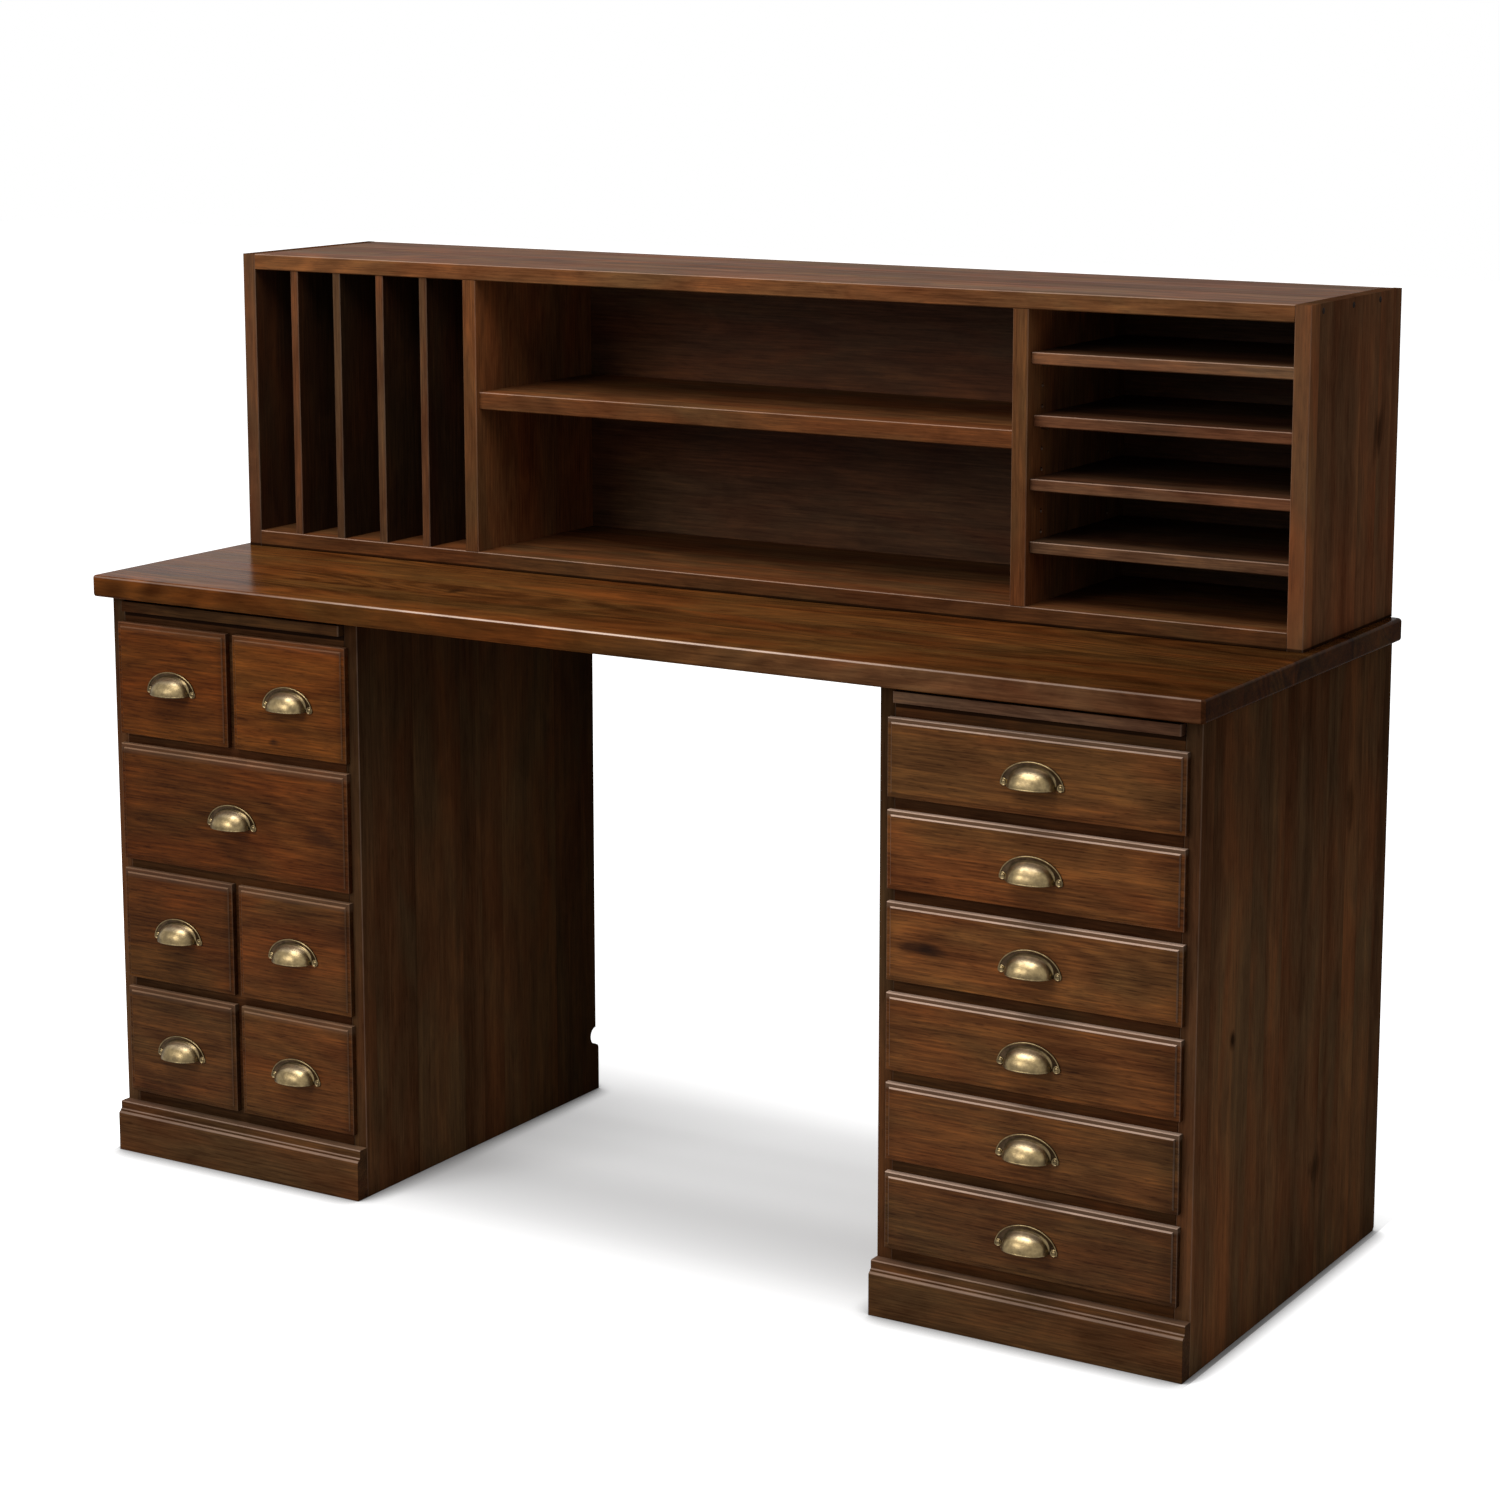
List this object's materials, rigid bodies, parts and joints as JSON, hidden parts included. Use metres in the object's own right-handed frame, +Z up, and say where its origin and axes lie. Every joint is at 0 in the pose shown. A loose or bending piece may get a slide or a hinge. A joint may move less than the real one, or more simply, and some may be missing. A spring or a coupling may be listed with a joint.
{
  "type": "writing desk",
  "caption": "Double-pedestal wooden writing desk with cup-pull drawers, pull-out writing slides and a pigeonhole hutch with mail slots and letter trays.",
  "frame": {"origin": "on the floor, under the middle of the desk's bounding box, pulls included", "axes": "+X to the right seen from the front, +Y to the rear, +Z up; the drawers open to -Y"},
  "size_m": [1.54, 0.5781, 1.152],
  "materials": {
    "desktop_wood": "dark red-brown stained solid wood, satin lacquer",
    "pedestal_wood": "dark red-brown stained solid wood, satin lacquer",
    "drawer_front_wood": "dark red-brown stained solid wood, satin lacquer",
    "slide_wood": "dark red-brown stained solid wood, satin lacquer",
    "hutch_wood": "dark red-brown stained solid wood, satin lacquer",
    "inner_wood": "dark stained wood, matt",
    "antique_brass": "aged brass, rubbed bright on the raised parts"
  },
  "bodies": {
    "desk": {"desktop": "desktop_wood", "left_pedestal_outer_side": "pedestal_wood", "left_pedestal_inner_side": "pedestal_wood", "right_pedestal_inner_side": "pedestal_wood", "right_pedestal_outer_side": "pedestal_wood", "pedestal_backs": "pedestal_wood", "pedestal_plinths": "pedestal_wood", "left_drawer_frames": "inner_wood", "right_drawer_frames": "inner_wood", "hutch_left_side": "hutch_wood", "hutch_right_side": "hutch_wood", "hutch_top": "hutch_wood", "hutch_bottom": "hutch_wood", "mail_dividers": "hutch_wood", "hutch_back": "hutch_wood", "hutch_partitions": "hutch_wood", "centre_shelf": "hutch_wood", "tray_shelves": "hutch_wood", "shelf_pins": "antique_brass"},
    "left_drawer_1": {"left_drawer_1_front": "drawer_front_wood", "left_drawer_1_box": "inner_wood", "left_drawer_1_pull": "antique_brass"},
    "left_drawer_2": {"left_drawer_2_front": "drawer_front_wood", "left_drawer_2_box": "inner_wood", "left_drawer_2_pull": "antique_brass"},
    "left_drawer_3": {"left_drawer_3_front": "drawer_front_wood", "left_drawer_3_box": "inner_wood", "left_drawer_3_pull": "antique_brass"},
    "left_drawer_4": {"left_drawer_4_front": "drawer_front_wood", "left_drawer_4_box": "inner_wood", "left_drawer_4_pull": "antique_brass"},
    "left_drawer_5": {"left_drawer_5_front": "drawer_front_wood", "left_drawer_5_box": "inner_wood", "left_drawer_5_pull": "antique_brass"},
    "left_drawer_6": {"left_drawer_6_front": "drawer_front_wood", "left_drawer_6_box": "inner_wood", "left_drawer_6_pull": "antique_brass"},
    "left_drawer_7": {"left_drawer_7_front": "drawer_front_wood", "left_drawer_7_box": "inner_wood", "left_drawer_7_pull": "antique_brass"},
    "right_drawer_1": {"right_drawer_1_front": "drawer_front_wood", "right_drawer_1_box": "inner_wood", "right_drawer_1_pull": "antique_brass"},
    "right_drawer_2": {"right_drawer_2_front": "drawer_front_wood", "right_drawer_2_box": "inner_wood", "right_drawer_2_pull": "antique_brass"},
    "right_drawer_3": {"right_drawer_3_front": "drawer_front_wood", "right_drawer_3_box": "inner_wood", "right_drawer_3_pull": "antique_brass"},
    "right_drawer_4": {"right_drawer_4_front": "drawer_front_wood", "right_drawer_4_box": "inner_wood", "right_drawer_4_pull": "antique_brass"},
    "right_drawer_5": {"right_drawer_5_front": "drawer_front_wood", "right_drawer_5_box": "inner_wood", "right_drawer_5_pull": "antique_brass"},
    "right_drawer_6": {"right_drawer_6_front": "drawer_front_wood", "right_drawer_6_box": "inner_wood", "right_drawer_6_pull": "antique_brass"},
    "left_slide": {"left_writing_slide": "slide_wood"},
    "right_slide": {"right_writing_slide": "slide_wood"}
  },
  "joints": [
    {"name": "left_drawer_1_pull_out", "type": "slide", "parent": "desk", "child": "left_drawer_1", "axis": [0, -1, 0], "range_m": [0, 0.38]},
    {"name": "left_drawer_2_pull_out", "type": "slide", "parent": "desk", "child": "left_drawer_2", "axis": [0, -1, 0], "range_m": [0, 0.38]},
    {"name": "left_drawer_3_pull_out", "type": "slide", "parent": "desk", "child": "left_drawer_3", "axis": [0, -1, 0], "range_m": [0, 0.38]},
    {"name": "left_drawer_4_pull_out", "type": "slide", "parent": "desk", "child": "left_drawer_4", "axis": [0, -1, 0], "range_m": [0, 0.38]},
    {"name": "left_drawer_5_pull_out", "type": "slide", "parent": "desk", "child": "left_drawer_5", "axis": [0, -1, 0], "range_m": [0, 0.38]},
    {"name": "left_drawer_6_pull_out", "type": "slide", "parent": "desk", "child": "left_drawer_6", "axis": [0, -1, 0], "range_m": [0, 0.38]},
    {"name": "left_drawer_7_pull_out", "type": "slide", "parent": "desk", "child": "left_drawer_7", "axis": [0, -1, 0], "range_m": [0, 0.38]},
    {"name": "right_drawer_1_pull_out", "type": "slide", "parent": "desk", "child": "right_drawer_1", "axis": [0, -1, 0], "range_m": [0, 0.38]},
    {"name": "right_drawer_2_pull_out", "type": "slide", "parent": "desk", "child": "right_drawer_2", "axis": [0, -1, 0], "range_m": [0, 0.38]},
    {"name": "right_drawer_3_pull_out", "type": "slide", "parent": "desk", "child": "right_drawer_3", "axis": [0, -1, 0], "range_m": [0, 0.38]},
    {"name": "right_drawer_4_pull_out", "type": "slide", "parent": "desk", "child": "right_drawer_4", "axis": [0, -1, 0], "range_m": [0, 0.38]},
    {"name": "right_drawer_5_pull_out", "type": "slide", "parent": "desk", "child": "right_drawer_5", "axis": [0, -1, 0], "range_m": [0, 0.38]},
    {"name": "right_drawer_6_pull_out", "type": "slide", "parent": "desk", "child": "right_drawer_6", "axis": [0, -1, 0], "range_m": [0, 0.38]},
    {"name": "left_slide_pull_out", "type": "slide", "parent": "desk", "child": "left_slide", "axis": [0, -1, 0], "range_m": [0, 0.35]},
    {"name": "right_slide_pull_out", "type": "slide", "parent": "desk", "child": "right_slide", "axis": [0, -1, 0], "range_m": [0, 0.35]}
  ]
}
